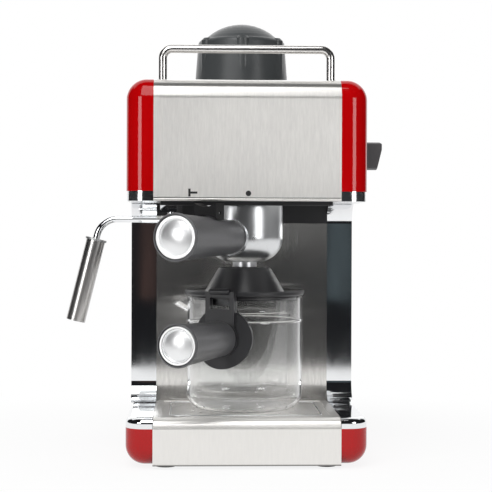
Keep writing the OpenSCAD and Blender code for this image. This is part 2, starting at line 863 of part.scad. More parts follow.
module steam_wand() {
  top = fitting_top - 3;
  color("#dcdee0") {
    wand_frame() {
      translate([0, 0, wand_z + swivel_bend_r]) cylinder(h = top - wand_z - swivel_bend_r, d = wand_d);
      translate([swivel_bend_r, 0, wand_z + swivel_bend_r]) rotate([90, 0, 0]) rotate([0, 0, 180])
        rotate_extrude(angle = 90) translate([swivel_bend_r, 0]) circle(d = wand_d);
      translate([swivel_bend_r, 0, wand_z]) rotate([0, 90, 0])
        cylinder(h = wand_level - swivel_bend_r, d = wand_d);
      translate([wand_level, 0, wand_z - wand_bend_r]) rotate([90, 0, 0]) rotate([0, 0, 90])
        mirror([0, 1, 0]) rotate_extrude(angle = 90 - wand_lean) translate([wand_bend_r, 0])
          circle(d = wand_d);
    }
  }
}

// Straight lower tube of the wand, with a tapered and bored tip.
module wand_nozzle() {
  tube_h = sleeve_start + tip_inside;
  color("#c9cbcd") wand_tip_frame() difference() {
    union() {
      cylinder(h = tube_h, d = wand_d);
      translate([0, 0, tube_h]) cylinder(h = 3, d1 = wand_d, d2 = 3);
    }
    translate([0, 0, tube_h - 12]) cylinder(h = 16, d = 1.6);
  }
}

module frother_collar() {
  color("#d8dadc") wand_tip_frame() translate([0, 0, sleeve_start - 1.6]) difference() {
    union() {
      cylinder(h = 1.6, d = sleeve_d + 1.8);
      cylinder(h = 16, d = sleeve_d - 1.6);
    }
    translate([0, 0, -eps]) cylinder(h = 18, d = wand_d + 2 * run);
    translate([0, sleeve_d / 2 - 2.6, 4]) cylinder(h = 14, d = 1.5);
  }
}

module frother_sleeve() {
  color("#c2c4c6") wand_tip_frame() translate([0, 0, sleeve_start]) difference() {
    cylinder(h = sleeve_h, d = sleeve_d);
    translate([0, 0, -eps]) cylinder(h = sleeve_h + 2 * eps, d = sleeve_d - 1.6);
  }
}

// ---------- Portafilter ----------

module bowl_section(inset) {
  r = bowl_d / 2 - inset;
  corner = bowl_r - inset;
  z0 = bowl_bottom + inset;
  difference() {
    translate([0, z0]) square([r, bowl_top - z0 + (inset > 0 ? eps : 0)]);
    corner_cut(r, z0, corner, false);
  }
}

module portafilter_bowl() {
  stub_d = filter_root_d - 9;
  collar_d = filter_root_d + 1.4;
  color("#dfe1e3") {
    translate([0, brew_y, 0]) {
      difference() {
        rotate_extrude() difference() {
          bowl_section(0);
          bowl_section(bowl_t);
        }
        translate([0, 0, bowl_bottom - eps]) cylinder(h = bowl_t + 3, d = 7);
      }
      for (side = [-1, 1])
        rotate([0, 0, -90 - filter_turn + side * 90 - ear_angle / 2]) rotate_extrude(angle = ear_angle)
          translate([bowl_d / 2 - 0.5, ear_z]) square([ear_reach + 0.5, ear_t]);
    }
    difference() {
      handle_frame(filter_turn, filter_z) rotate([0, 90, 0]) {
        cylinder(h = bowl_d / 2 + 10.8, d = stub_d);
        cylinder(h = bowl_d / 2 + root_gap, d = collar_d);
      }
      translate([0, brew_y, 0]) rotate_extrude() bowl_section(bowl_t / 2);
    }
  }
}

module portafilter_spout() {
  color("#dfe1e3") translate([0, brew_y, 0]) difference() {
    union() {
      translate([0, 0, spout_z]) cylinder(h = spout_h, d = spout_d);
      translate([0, 0, bowl_bottom - 0.01]) cylinder(h = bowl_t + 1, d = 7);
    }
    for (x = [-1, 1])
      translate([x * 5, 0, spout_z - eps]) cylinder(h = spout_h - 0.6 + eps, d = 4.5);
    translate([0, 0, spout_z + 1]) cylinder(h = bowl_t + 4, d = 4.5);
    translate([-5, -1.5, spout_z + 1]) cube([10, 3, 1.2]);
  }
}

module portafilter_handle() {
  r0 = bowl_d / 2 + root_gap;
  pin_z = clip_pin_z - filter_z;
  color("#4a4a4d") handle_frame(filter_turn, filter_z) difference() {
    union() {
      grip(r0, filter_reach, filter_root_d, filter_grip_d, filter_grip_d - 2.6, 2.4);
      translate([clip_r - lug_d / 2, -lug_w / 2, filter_root_d / 4])
        cube([lug_d, lug_w, pin_z - filter_root_d / 4]);
      translate([clip_r, 0, pin_z]) rotate([90, 0, 0]) cylinder(h = lug_w, d = lug_d, center = true);
    }
    rotate([0, 90, 0]) translate([0, 0, r0 - eps])
      cylinder(h = bowl_d / 2 + 10.8 - r0 + eps, d = filter_root_d - 9);
    translate([clip_r, 0, pin_z]) rotate([90, 0, 0])
      cylinder(h = lug_w + 2 * eps, d = clip_pin_d, center = true);
  }
}

module portafilter_cap() {
  color("#d9dbdd") handle_frame(filter_turn, filter_z) end_cap(filter_reach, filter_grip_d - 2.6, 2.4);
}

module filter_basket() {
  r = bowl_d / 2 - bowl_t - gap;
  z0 = bowl_top - basket_h;
  color("#c0c2c4") translate([0, brew_y, 0]) difference() {
    union() {
      translate([0, 0, z0]) cylinder(h = basket_h, r = r);
      translate([0, 0, bowl_top]) cylinder(h = basket_t, r = bowl_d / 2);
    }
    translate([0, 0, z0 + basket_t]) cylinder(h = basket_h + eps, r = r - basket_t);
    for (ring = [[0.01, 1], [7, 6], [14, 12]])
      for (i = [0:ring[1] - 1])
        rotate([0, 0, i * 360 / ring[1]]) translate([ring[0], 0, z0 - eps]) cylinder(h = 3, d = 1.5);
  }
}

module clip_pin() {
  color("#b8babc") handle_frame(filter_turn, clip_pin_z) translate([clip_r, 0, 0])
    rotate([90, 0, 0]) cylinder(h = clip_w - 1, d = clip_pin_d, center = true);
}

// Thumb clip: a rocker astride the handle's lug, dished across its top.
module basket_clip() {
  dish_depth = 2.6;
  dish_r = (clip_w * clip_w / 4 + dish_depth * dish_depth) / (2 * dish_depth);
  clear = 1.1;
  pocket_l = lug_d + 1.4;
  slope = (filter_grip_d - filter_root_d - 1.2) / (2 * (filter_reach - bowl_d / 2 - root_gap - 3));
  z0 = filter_z + filter_root_d / 2 - 2.5;
  x0 = clip_r - clip_l / 2;
  root_r = filter_root_d / 2 + clear + slope * (x0 - eps - bowl_d / 2 - root_gap);
  color("#2c2c2e") handle_frame(filter_turn, 0) difference() {
    translate([x0, -clip_w / 2, z0]) cube([clip_l, clip_w, clip_top - z0]);
    translate([x0 - eps, 0, clip_top - dish_depth + dish_r]) rotate([0, 90, 0])
      cylinder(h = clip_l + 2 * eps, r = dish_r, $fn = 160);
    translate([x0 - eps, 0, filter_z]) rotate([0, 90, 0])
      cylinder(h = clip_l + 2 * eps, r1 = root_r, r2 = root_r + slope * (clip_l + 2 * eps));
    translate([clip_r - pocket_l / 2, -lug_w / 2 - gap, z0 - eps])
      cube([pocket_l, lug_w + 2 * gap, clip_pin_z + lug_d / 2 + gap - z0 + eps]);
    translate([clip_r, 0, clip_pin_z]) rotate([90, 0, 0])
      cylinder(h = clip_w + 2 * eps, d = clip_pin_d + 2 * run, center = true);
  }
}

// ---------- Carafe ----------

module glass_section(inset) {
  r = glass_d / 2 - inset;
  z0 = glass_z + inset;
  difference() {
    translate([0, z0]) square([r, rim_top - z0 + (inset > 0 ? eps : 0)]);
    corner_cut(r, z0, glass_foot_r - inset, false);
  }
}

// The pouring lip: a leaning funnel at the rim, drawn towards the left.
module pour_lip(inset) {
  r = 8;
  lean = 60;
  translate([-(glass_d / 2 + pour_reach), 0, rim_top - lip_drop]) rotate([0, -lean, 0])
    translate([r, 0, -3 * pour_reach]) cylinder(h = 6 * pour_reach, r = r - inset);
}

module carafe_glass() {
  bead_z = rim_top - 17;
  color("#cfd8dc", 0.5) translate([0, brew_y, 0]) difference() {
    union() {
      rotate_extrude() {
        glass_section(0);
        translate([glass_d / 2 - 1, bead_z]) circle(r = 1 + bead);
      }
      intersection() {
        pour_lip(0);
        translate([-glass_d, -glass_d / 2, rim_top - 1.6 * pour_reach])
          cube([glass_d - 10, glass_d, 1.6 * pour_reach]);
      }
    }
    rotate_extrude() glass_section(glass_t);
    intersection() {
      pour_lip(glass_t);
      translate([-glass_d, -glass_d / 2, rim_top - 2 * pour_reach]) cube([glass_d, glass_d, glass_d]);
    }
    // The beak's upper edge falls towards its tip.
    translate([-glass_d / 2 + 1, -glass_d / 2, rim_top])
      rotate([0, -atan(lip_drop / (pour_reach + 1)), 0])
        translate([-glass_d, 0, 0]) cube([glass_d, glass_d, glass_d / 2]);
  }
}

// Ring between two radii about the carafe's axis, as wide as the hook.
module hook_arc(r0, r1, z0, h) {
  w = hook_w - 6;
  intersection() {
    translate([0, 0, z0]) difference() {
      cylinder(h = h, r = r1);
      translate([0, 0, -eps]) cylinder(h = h + 2 * eps, r = r0);
    }
    translate([0, -w / 2, z0 - eps]) cube([r1 + eps, w, h + 2 * eps]);
  }
}

// Bracket behind the carafe handle: a round shield curved to the glass, two legs with a
// window between them, a hook over the glass rim and a rounded bar above it.
module carafe_bracket() {
  r = bracket_r;
  leg_w = 3.5;
  window_h = 8.2;
  bar_d = 4.6;
  top = lid_z + lid_t;
  z0 = carafe_z + carafe_root_d / 4;
  flange_r = lid_d / 2 + gap;
  hook_r = glass_d / 2 - glass_t - hook_t - 0.1;
  color("#222224") handle_frame(carafe_turn, 0) {
    difference() {
      union() {
        translate([r - 4, -hook_w / 2, z0]) cube([leg_t + 4, hook_w, top - z0]);
        translate([flange_r + bar_d / 2, 0, top]) rotate([90, 0, 0])
          cylinder(h = hook_w - 2 * leg_w, d = bar_d, center = true);
        intersection() {
          translate([0, 0, carafe_z - shield_d]) cylinder(h = 2 * shield_d, r = r + shield_t);
          translate([0, 0, carafe_z]) rotate([0, 90, 0]) cylinder(h = glass_d, d = shield_d);
        }
        translate([0, 0, carafe_z]) rotate([0, 90, 0])
          cylinder(h = r + leg_t, d = carafe_root_d + 2);
      }
      translate([0, 0, glass_z]) cylinder(h = bay_h, r = r);
      translate([0, 0, lid_z - gap]) cylinder(h = bay_h, r = flange_r);
      translate([0, -hook_w / 2 + leg_w, rim_top + hook_t - window_h])
        cube([glass_d, hook_w - 2 * leg_w, window_h]);
    }
    hook_arc(hook_r, r + 1, rim_top, hook_t);
    hook_arc(hook_r, hook_r + hook_t, rim_top - 5, 5 + hook_t);
  }
}

module carafe_handle() {
  r0 = bracket_r + leg_t;
  color("#4a4a4d") handle_frame(carafe_turn, carafe_z)
    grip(r0, carafe_reach, carafe_root_d, carafe_grip_d, carafe_grip_d - 2.4, 2.2);
}

module carafe_cap() {
  color("#d9dbdd") handle_frame(carafe_turn, carafe_z) end_cap(carafe_reach, carafe_grip_d - 2.4, 2.2);
}

module carafe_lid() {
  foot = cone_foot_d / 2;
  top = cone_top_d / 2;
  z1 = lid_z + lid_t;
  skirt_r = glass_d / 2 - glass_t - hook_t - 0.1 - 2 * gap;
  color("#202022") translate([0, brew_y, 0]) rotate_extrude() {
    polygon([[foot - lid_wall, lid_z], [lid_d / 2 - 1, lid_z], [lid_d / 2, lid_z + 1],
      [lid_d / 2, z1 - 1], [lid_d / 2 - 1, z1], [lid_d / 2 - 3, z1 - 1], [foot + 1, z1 - 1],
      [top, lid_top - 0.8], [top - 0.6, lid_top], [top - lid_wall, lid_top],
      [foot - lid_wall, z1 - 1]]);
    translate([skirt_r - lid_wall, lid_z - skirt_h]) square([lid_wall, skirt_h + 0.5]);
  }
}

// ---------- Filler cap ----------

module cap_outline() {
  foot_r = cap_d / 2;
  top_r = cap_top_d / 2;
  shoulder_r = 4;
  shoulder_z = cap_top - dome_h;
  dome_half = dome_d / 2;
  ball = (dome_half * dome_half + dome_h * dome_h) / (2 * dome_h);
  half_angle = asin(dome_half / ball);
  polygon(concat(
    [[0, cap_z], [foot_r - 0.6, cap_z], [foot_r, cap_z + 1]],
    arc(top_r - shoulder_r, shoulder_z - shoulder_r, shoulder_r, 4, 80, 6),
    arc(0, cap_top - ball, ball, 90 - half_angle, 90, 8)));
}

module boiler_cap() {
  shell = 3;
  shoulder_z = cap_top - dome_h;
  rib_r = 6;
  hub_top = shoulder_z + 1;
  hub_z = neck_top + 2 + plug_flange_t + gap;
  color("#2b2c2e") translate([0, filler_y, 0]) {
    difference() {
      union() {
        rotate_extrude() cap_outline();
        for (i = [0:rib_count - 1])
          rotate([0, 0, -90 + i * 360 / rib_count]) translate([cap_top_d / 2 - rib_r + 1.8, 0, 0]) {
            translate([0, 0, cap_z + 6]) cylinder(h = shoulder_z - cap_z - 8, r = rib_r);
            translate([0, 0, shoulder_z - 2]) cylinder(h = 2, r1 = rib_r, r2 = rib_r - 2);
          }
      }
      translate([0, 0, cap_z - eps]) cylinder(h = shoulder_z - shell - cap_z + eps,
        d1 = cap_d - 2 * shell - 2, d2 = cap_top_d - 2 * shell - 3);
      cylinder(h = hub_top - 3, d = stem_d + 2 * run);
    }
    difference() {
      translate([0, 0, hub_z]) cylinder(h = shoulder_z - shell - hub_z, d = 34);
      translate([0, 0, cap_z]) cylinder(h = hub_top - 3 - cap_z, d = stem_d + 2 * run);
    }
  }
}

module cap_plug() {
  bore = neck_d - 2 * neck_t;
  z_flange = neck_top + 2;
  color("#a4a6a8") translate([0, filler_y, 0]) {
    translate([0, 0, neck_top - 16]) cylinder(h = 18, d = bore - 2 * gap);
    translate([0, 0, neck_top + gap]) cylinder(h = 2 - gap, d = neck_d);
    translate([0, 0, z_flange]) cylinder(h = plug_flange_t, d = neck_d + 2);
    translate([0, 0, z_flange]) cylinder(h = 22, d = stem_d);
    translate([0, 0, neck_top - 22]) cylinder(h = 6, d = 10);
  }
}

base_housing();
base_front_plate();
base_cheek(-1);  // base_cheek_left
base_cheek(1);  // base_cheek_right
base_rim(-1);  // base_rim_left
base_rim(1);  // base_rim_right
bottom_plate();
foot(-1, -1);  // foot_front_left
foot(1, -1);  // foot_front_right
foot(-1, 1);  // foot_back_left
foot(1, 1);  // foot_back_right
drip_deck();
drip_pan();
column_panel();
column_side(-1);  // column_side_left
column_side(1);  // column_side_right
lintel();
rear_cover();
cord_gland();
head_wrap();
head_cheek(-1);  // head_cheek_left
head_cheek(1);  // head_cheek_right
head_trim(-1);  // head_trim_left
head_trim(1);  // head_trim_right
under_plate();
head_floor();
cup_rail();
rail_nut(-1);  // rail_nut_left
rail_nut(1);  // rail_nut_right
boiler();
filler_collar();
heating_element();
brew_group();
group_gasket();
shower_screen();
brew_pipe();
steam_valve();
steam_pipe();
selector_knob();
knob_shaft();
wand_fitting();
steam_wand();
wand_nozzle();
frother_collar();
frother_sleeve();
portafilter_bowl();
portafilter_spout();
portafilter_handle();
portafilter_cap();
filter_basket();
clip_pin();
basket_clip();
carafe_glass();
carafe_bracket();
carafe_handle();
carafe_cap();
carafe_lid();
boiler_cap();
cap_plug();
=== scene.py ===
import json
import math

import bmesh
import bpy
from mathutils import Matrix, Vector


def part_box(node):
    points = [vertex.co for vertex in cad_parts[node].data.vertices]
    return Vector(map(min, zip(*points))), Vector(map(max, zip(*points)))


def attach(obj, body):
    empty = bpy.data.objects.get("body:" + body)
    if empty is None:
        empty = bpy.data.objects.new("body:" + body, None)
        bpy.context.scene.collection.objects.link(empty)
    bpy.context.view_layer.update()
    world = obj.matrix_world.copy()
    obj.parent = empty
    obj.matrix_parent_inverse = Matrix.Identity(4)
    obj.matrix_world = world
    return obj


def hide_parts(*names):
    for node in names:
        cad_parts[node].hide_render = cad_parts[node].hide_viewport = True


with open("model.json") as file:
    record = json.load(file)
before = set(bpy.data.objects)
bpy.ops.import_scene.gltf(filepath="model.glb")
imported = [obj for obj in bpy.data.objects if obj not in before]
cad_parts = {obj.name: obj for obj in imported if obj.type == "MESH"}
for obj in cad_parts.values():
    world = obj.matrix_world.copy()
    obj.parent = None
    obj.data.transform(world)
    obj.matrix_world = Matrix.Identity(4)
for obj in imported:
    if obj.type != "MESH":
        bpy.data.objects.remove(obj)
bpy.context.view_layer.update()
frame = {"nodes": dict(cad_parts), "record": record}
nodes = frame["nodes"]
body_of = {n: b for b, ns in frame["record"]["behaviour"]["bodies"].items() for n in ns}
slot_of = {p["node"]: p["material_slot"] for p in frame["record"]["subparts"]}
scene = bpy.context.scene

MM = 0.001
# Noise seldom leaves this range, so it is stretched from here.
NOISE_LOW, NOISE_HIGH = 0.3, 0.7


# ---------- Materials ----------

class Shader:
    """A Principled material built from nodes, with coordinates in the object's own metres."""

    def __init__(self, name, **fixed):
        self.material = bpy.data.materials.new(name)
        self.material.use_nodes = True
        self.tree = self.material.node_tree
        self.principled = self.tree.nodes["Principled BSDF"]
        for socket, value in fixed.items():
            self.principled.inputs[socket.replace("_", " ")].default_value = value
        self.place = self.node("ShaderNodeTexCoord").outputs["Object"]

    def node(self, kind, props=None, **inputs):
        """Add a node. Its inputs are values or sockets, by name, or by number as i0, i1."""
        n = self.tree.nodes.new(kind)
        for key, value in (props or {}).items():
            setattr(n, key, value)
        for key, value in inputs.items():
            socket = n.inputs[int(key[1:]) if key[1:].isdigit() else key.replace("_", " ")]
            if isinstance(value, bpy.types.NodeSocket):
                self.tree.links.new(value, socket)
            else:
                socket.default_value = value
        return n

    def noise(self, scale, stretch=(1, 1, 1), detail=3.0, rough=0.55):
        """Noise with so many grains per metre, times a stretch along each axis."""
        at = self.node("ShaderNodeVectorMath", {"operation": "MULTIPLY"}, i0=self.place,
                       i1=tuple(scale * s for s in stretch))
        return self.node("ShaderNodeTexNoise", None, Vector=at.outputs[0], Scale=1.0,
                         Detail=detail, Roughness=rough).outputs[0]

    def spread(self, value, low, high, start=NOISE_LOW, end=NOISE_HIGH):
        """Turn a value between start and end into one between low and high."""
        return self.node("ShaderNodeMapRange", None, Value=value, From_Min=start, From_Max=end,
                         To_Min=low, To_Max=high).outputs[0]

    def math(self, operation, a, b):
        return self.node("ShaderNodeMath", {"operation": operation}, i0=a, i1=b).outputs[0]

    def colours(self, value, dark, light, start=NOISE_LOW, end=NOISE_HIGH):
        """Turn a value between start and end into a colour between dark and light."""
        ramp = self.node("ShaderNodeValToRGB", None, i0=value)
        for stop, at, colour in zip(ramp.color_ramp.elements, (start, end), (dark, light)):
            stop.position = at
            stop.color = (*colour, 1)
        return ramp.outputs[0]

    def link(self, value, socket):
        self.tree.links.new(value, self.principled.inputs[socket])

    def link_tangent(self, axis):
        """Take the direction that reflections are smeared in from rings about an axis."""
        rings = self.node("ShaderNodeTangent", {"direction_type": "RADIAL", "axis": axis})
        self.link(rings.outputs[0], "Tangent")

    def relief(self, *layers):
        """Each layer is a height map with its depth in metres."""
        normal = None
        for height, depth in layers:
            bump = self.node("ShaderNodeBump", None, Height=height, Distance=depth, Strength=1.0)
            if normal:
                self.tree.links.new(normal, bump.inputs["Normal"])
            normal = bump.outputs[0]
        self.link(normal, "Normal")


def shade(colour, share):
    """A colour times a share, never brighter than 1."""
    return tuple(min(1.0, c * share) for c in colour)


def moulded(name, colour, rough, grain=900, depth=0.000012, ior=1.49):
    """Moulded plastic: fine spark grain, faint flow marks and rubbed patches."""
    s = Shader(name, IOR=ior)
    fine = s.noise(grain, detail=2.0)
    broad = s.noise(22, detail=2.0)
    s.link(s.colours(broad, shade(colour, 0.88), shade(colour, 1.12)), "Base Color")
    s.link(s.math("ADD", s.spread(broad, -0.04, 0.05), s.spread(fine, rough - 0.03, rough + 0.04)),
           "Roughness")
    s.relief((fine, depth))
    return s.material


def glossy(name, colour):
    """High-gloss coloured moulding: deep clear surface with a very slight ripple."""
    s = Shader(name, IOR=1.42)
    broad = s.noise(16, detail=2.0)
    fine = s.noise(240, detail=3.0)
    s.link(s.colours(broad, shade(colour, 0.94), shade(colour, 1.05)), "Base Color")
    s.link(s.math("ADD", s.spread(fine, 0.06, 0.10), s.spread(broad, -0.015, 0.02)), "Roughness")
    s.relief((broad, 0.00012), (fine, 0.000002))
    return s.material


def brushed(name, colour, along, rough=(0.29, 0.305), painted_shadow_height=0.0, metallic=0.88, contrast=0.055):
    """Brushed sheet steel: hairlines along one axis, which smear reflections across it. With a
    painted shadow height, the sheet is painted dark below that height in metres: a painted shadow
    line along its bottom edge, standing partly for the black housing edge below it."""
    quarter_turn = 0.25
    s = Shader(name, Metallic=metallic, Anisotropic=1.0, Anisotropic_Rotation=quarter_turn)

    def lines(across, lengthways, **kind):
        """Noise drawn out along the sheet's axis, with so many grains per metre each way."""
        stretch = [across] * 3
        stretch["xyz".index(along)] = lengthways
        return s.noise(1.0, stretch, **kind)

    hair = lines(1500, 180, detail=2.0, rough=0.5)
    band = lines(620, 70, detail=1.0)
    cloud = s.noise(14, detail=2.0)
    mixed = s.math("ADD", s.math("MULTIPLY", hair, 0.5), s.math("MULTIPLY", band, 0.5))
    tone = s.colours(mixed, shade(colour, 1 - contrast), shade(colour, 1 + contrast), 0.32, 0.68)
    # Painted shadow: below the given height the colour is painted down to a quarter, a shadow line
    # along the sheet's bottom edge.
    if painted_shadow_height:
        height = s.node("ShaderNodeSeparateXYZ", None, Vector=s.place).outputs["Z"]
        painted_shadow_share, below, above = 0.25, painted_shadow_height - 0.0003, painted_shadow_height + 0.0005
        painted_hem_shadow = s.spread(height, painted_shadow_share, 1.0, below, above)
        tone = s.node("ShaderNodeVectorMath", {"operation": "SCALE"}, i0=tone,
                      Scale=painted_hem_shadow).outputs[0]
    s.link(tone, "Base Color")
    s.link(s.math("ADD", s.spread(band, *rough), s.spread(cloud, -0.015, 0.02)), "Roughness")
    s.relief((hair, 0.0000003))
    s.link_tangent("X")
    return s.material


def plated(name, colour=(0.86, 0.87, 0.88), rough=(0.035, 0.09), ripple=0.00010):
    """Bright plating with a soft ripple and faint wiping marks."""
    s = Shader(name, Metallic=1.0)
    wide = s.noise(11, detail=1.0)
    smear = s.noise(55, (1, 1, 0.3), detail=4.0)
    s.link(s.colours(smear, shade(colour, 0.95), shade(colour, 1.03)), "Base Color")
    s.link(s.spread(smear, *rough), "Roughness")
    s.relief((wide, ripple))
    return s.material


def drawn_tube(name, colour, rough, lean):
    """Drawn steel tube: faint lines along its length, which leans so many degrees from upright."""
    s = Shader(name, Metallic=1.0)
    s.place = s.node("ShaderNodeVectorRotate", {"rotation_type": "Y_AXIS"}, Vector=s.place,
                     Angle=math.radians(-lean)).outputs[0]
    lines = s.noise(900, (1, 1, 0.02), detail=2.0)
    wiped = s.noise(60, (1, 1, 0.25), detail=3.0)
    mixed = s.math("ADD", s.math("MULTIPLY", lines, 0.6), s.math("MULTIPLY", wiped, 0.4))
    s.link(s.colours(mixed, shade(colour, 0.88), shade(colour, 1.08), 0.35, 0.65), "Base Color")
    s.link(s.spread(wiped, *rough), "Roughness")
    s.relief((wiped, 0.000004))
    return s.material


def turned_metal(name, colour, rough, metallic, anisotropic):
    """Spun aluminium: fine rings about the piece's own axis, which smear reflections."""
    s = Shader(name, Metallic=metallic, Anisotropic=anisotropic)
    axis = s.node("ShaderNodeSeparateXYZ", None, Vector=s.place)
    flat = s.node("ShaderNodeCombineXYZ", None, X=axis.outputs["X"], Y=axis.outputs["Y"])
    reach = s.node("ShaderNodeVectorMath", {"operation": "LENGTH"}, i0=flat.outputs[0])
    rings_per_metre = 2600.0
    line = s.node("ShaderNodeCombineXYZ", None,
                  X=s.math("MULTIPLY", reach.outputs["Value"], rings_per_metre))
    rings = s.node("ShaderNodeTexNoise", None, Vector=line.outputs[0], Scale=1.0,
                   Detail=2.0).outputs[0]
    cloud = s.noise(60, detail=2.0)
    s.link(s.colours(rings, shade(colour, 0.965), shade(colour, 1.02)), "Base Color")
    s.link(s.math("ADD", s.spread(rings, rough - 0.02, rough + 0.02), s.spread(cloud, -0.01, 0.01)),
           "Roughness")
    s.relief((rings, 0.0000004))
    s.link_tangent("Z")
    return s.material


def cast(name, colour, rough, grain, depth):
    """Cast or machined metal: an even fine grain in colour, gloss and relief."""
    s = Shader(name, Metallic=1.0)
    fine = s.noise(grain, detail=4.0)
    s.link(s.colours(fine, shade(colour, 0.8), shade(colour, 1.12)), "Base Color")
    s.link(s.spread(fine, rough - 0.06, rough + 0.1), "Roughness")
    s.relief((fine, depth))
    return s.material


def clear_glass(name):
    """Blown glass: nearly clear, with slow waves and a faint bloom towards its edges."""
    s = Shader(name, Transmission_Weight=1.0, IOR=1.47, Sheen_Weight=0.5, Sheen_Roughness=0.25)
    wave = s.noise(18, (1, 1, 0.5), detail=1.0)
    s.link(s.colours(wave, (0.975, 0.985, 0.985), (1.0, 1.0, 1.0)), "Base Color")
    s.link(s.spread(s.noise(70), 0.0, 0.012), "Roughness")
    s.relief((wave, 0.00006))
    return s.material


STEEL = (0.80, 0.785, 0.758)
RED = (0.36, 0.0006, 0.0014)
finish = {
    "red_gloss": glossy("red_gloss_moulding", RED),
    "brushed_steel": brushed("steel_brushed_upright", STEEL, "z"),
    "chrome": plated("chrome_plating"),
    "black_plastic": moulded("plastic_black_satin", (0.018, 0.018, 0.020), 0.36),
    "handle_plastic": moulded("plastic_handle_satin", (0.072, 0.072, 0.076), 0.38),
    "satin_cap": cast("aluminium_satin", (0.84, 0.845, 0.85), 0.27, 1400, 0.0000006),
    "foot_rubber": moulded("rubber_black", (0.028, 0.028, 0.028), 0.75, 500, 0.00003),
    "seal_rubber": moulded("rubber_red_brown", (0.28, 0.075, 0.05), 0.7, 500, 0.00003),
    "cast_metal": cast("aluminium_cast", (0.52, 0.53, 0.54), 0.45, 300, 0.00010),
    "valve_brass": cast("brass_machined", (0.62, 0.44, 0.18), 0.28, 700, 0.00001),
    "clear_glass": clear_glass("glass_clear"),
}

# Finishes of single nodes, where the slot's finish isn't the whole story
satin_chrome = plated("chrome_trim", (0.80, 0.81, 0.82), (0.13, 0.19))
polished = plated("aluminium_polished", (0.72, 0.73, 0.74), (0.27, 0.34))
rim_chrome = plated("chrome_rim", (0.84, 0.85, 0.86), (0.05, 0.10), 0.00001)
own_finish = {
    # Painted shade: the head panel's steel is painted darker than the slot's steel.
    "head_wrap": brushed("steel_brushed_panel_painted_shade", shade(STEEL, 0.93), "z"),
    # Painted light and painted shadow: this plate's steel is painted lighter, and dark along its
    # bottom 3.3 mm as a shadow line.
    "base_front_plate": brushed("steel_brushed_painted_light_and_hem_shadow", shade(STEEL, 1.04), "z", painted_shadow_height=0.0033,
                                contrast=0.022),
    # Painted shade: the column panel, in the bay under the head, has its steel painted darker.
    "column_panel": brushed("steel_brushed_column_painted_shade", shade(STEEL, 0.86), "z", rough=(0.14, 0.155),
                            metallic=0.94, contrast=0.08),
    # Painted light: the drip deck's steel is painted lighter.
    "drip_deck": brushed("steel_brushed_level_painted_light", shade(STEEL, 1.1), "x", rough=(0.22, 0.235),
                         metallic=0.55, contrast=0.035),
    "under_plate": finish["brushed_steel"],
    "cup_rail": plated("steel_rail_satin", (0.80, 0.78, 0.76), (0.20, 0.22), 0.000004),
    "boiler_cap": moulded("plastic_cap_grey", (0.046, 0.050, 0.052), 0.34),
    # Painted shade: the clip's black is painted darker than the other black plastic, with a low IOR
    # that dims its reflections, for the shade it sits in below the head.
    "basket_clip": moulded("plastic_clip_black_painted_shade", (0.006, 0.006, 0.0065), 0.48, ior=1.26),
    "frother_sleeve": drawn_tube("steel_sleeve_drawn", (0.59, 0.575, 0.56), (0.24, 0.31), 12.5),
    "frother_collar": cast("aluminium_collar", (0.60, 0.61, 0.61), 0.42, 900, 0.000002),
    "base_rim_left": rim_chrome,
    "base_rim_right": rim_chrome,
    "head_trim_left": satin_chrome,
    "head_trim_right": satin_chrome,
    "portafilter_bowl": polished,
    "portafilter_spout": polished,
}

# Finishes of pieces made here
screw_steel = plated("screw_steel", (0.55, 0.55, 0.56), (0.22, 0.32), 0.00002)
print_black = moulded("print_black", (0.010, 0.010, 0.011), 0.5, 1500, 0.000004)
print_white = moulded("print_white", (0.80, 0.80, 0.79), 0.5, 1500, 0.000004)
spun_metal = turned_metal("aluminium_spun", (0.86, 0.865, 0.87), 0.34, 0.85, 0.4)
ring_metal = turned_metal("aluminium_ring", (0.90, 0.90, 0.90), 0.38, 0.45, 0.3)

for name, obj in nodes.items():
    for material_slot in obj.material_slots:
        material_slot.material = own_finish.get(name, finish[slot_of[name]])

# Clear glass lets the light through, so it throws no dark shadow on the deck.
nodes["carafe_glass"].visible_shadow = False


# ---------- Shapes in millimetres ----------

def soften(points, cut, steps=4):
    """Round an outline of (x, y) points with short curves at all but its two ends."""
    out = [tuple(points[0])]
    for before, at, after in zip(points, points[1:], points[2:]):
        a, b, c = Vector(before), Vector(at), Vector(after)
        t = min(cut, (a - b).length * 0.49, (c - b).length * 0.49)
        p, q = b + (a - b).normalized() * t, b + (c - b).normalized() * t
        for i in range(steps + 1):
            s = i / steps
            out.append(tuple(p * (1 - s) ** 2 + b * (2 * s * (1 - s)) + q * s ** 2))
    return out + [tuple(points[-1])]


def rectangle(x0, y0, x1, y1):
    """The outline of a rectangle between two corners, anticlockwise."""
    return [(x0, y0), (x1, y0), (x1, y1), (x0, y1)]


def rounded_rectangle(half_width, y0, y1, r, steps=8):
    """The outline of a rectangle with round corners, anticlockwise."""
    x = half_width - r
    out = []
    for cx, cy, start in ((x, y1 - r, 0), (-x, y1 - r, 90), (-x, y0 + r, 180), (x, y0 + r, 270)):
        for i in range(steps + 1):
            a = math.radians(start + 90 * i / steps)
            out.append((cx + r * math.cos(a), cy + r * math.sin(a)))
    return out


def strip_of_faces(bm, low, high):
    """Join two closed rows of vertices. Either row may be a single point."""
    steps = max(len(low), len(high))
    for i in range(steps):
        j = (i + 1) % steps
        if len(low) == 1:
            bm.faces.new((low[0], high[i], high[j]))
        elif len(high) == 1:
            bm.faces.new((low[i], high[0], low[j]))
        else:
            bm.faces.new((low[i], high[i], high[j], low[j]))


